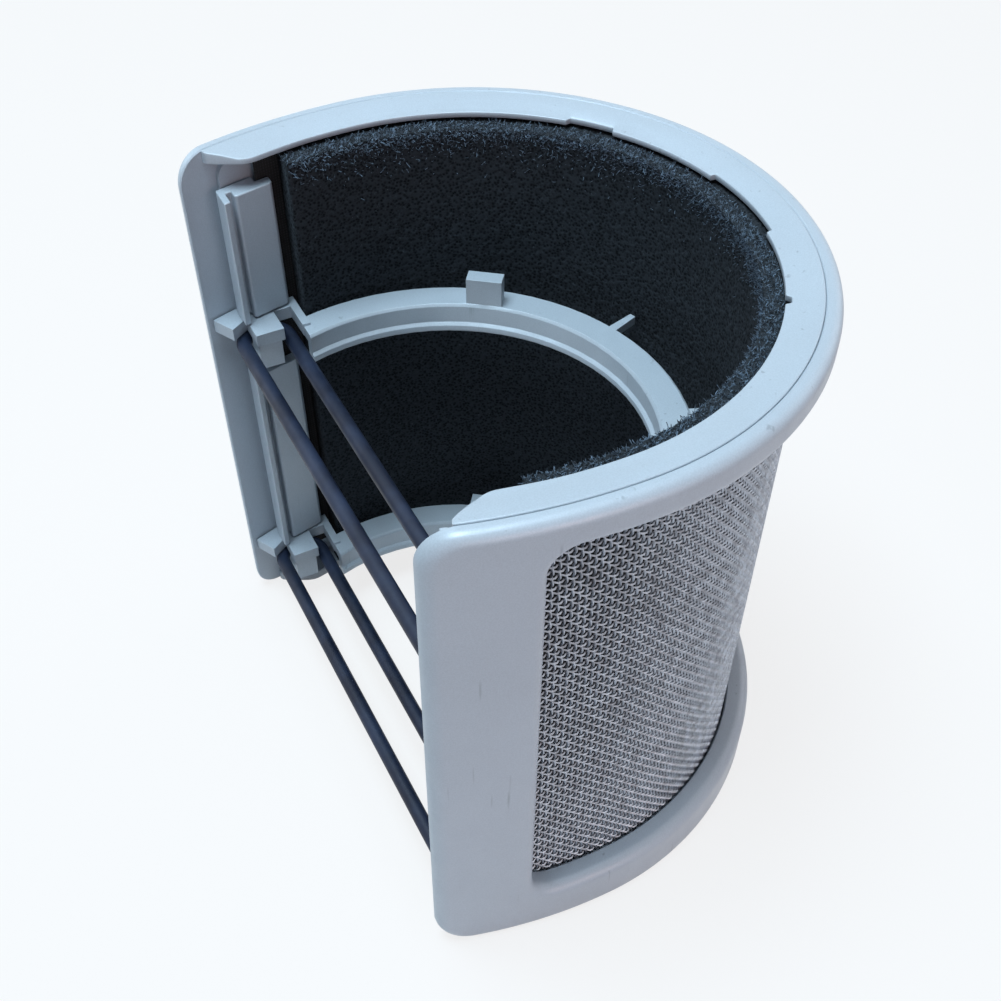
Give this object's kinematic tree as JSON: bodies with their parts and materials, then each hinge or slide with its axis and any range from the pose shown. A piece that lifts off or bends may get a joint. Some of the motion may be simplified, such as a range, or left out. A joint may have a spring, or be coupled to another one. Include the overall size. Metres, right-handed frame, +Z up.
{
  "type": "microphone isolation shield",
  "caption": "C-shaped desktop shield with a wire-mesh back and foam lining that wraps a microphone, held in cradle rings by stretched rubber bands.",
  "frame": {"origin": "on the surface that the shield stands on, under the middle of its box", "axes": "+Z up, the open front faces -Y, the closed back faces +Y, and X runs from cheek to cheek"},
  "size_m": [0.097, 0.0754, 0.09],
  "materials": {
    "silver_plastic": "satin silver paint",
    "mesh_wire": "woven wire, lightly painted",
    "black_gauze": "matt",
    "black_foam": "open-cell, matt",
    "band_rubber": "smooth"
  },
  "bodies": {
    "shield": {"outer_shell": "silver_plastic", "top_cover": "silver_plastic", "bottom_cover": "silver_plastic", "upper_cradle_ring": "silver_plastic", "lower_cradle_ring": "silver_plastic", "left_upper_clamp_bar": "silver_plastic", "right_upper_clamp_bar": "silver_plastic", "left_lower_clamp_bar": "silver_plastic", "right_lower_clamp_bar": "silver_plastic", "mesh_screen": "mesh_wire", "inner_gauze": "black_gauze", "foam_liner": "black_foam"},
    "upper_band": {"upper_elastic_band": "band_rubber"},
    "lower_band": {"lower_elastic_band": "band_rubber"}
  },
  "joints": [
    {"name": "upper_band_slide", "type": "slide", "parent": "shield", "child": "upper_band", "axis": [0, 0, -1], "range_m": [0, 0.0052]},
    {"name": "lower_band_slide", "type": "slide", "parent": "shield", "child": "lower_band", "axis": [0, 0, -1], "range_m": [0, 0.0052]}
  ]
}
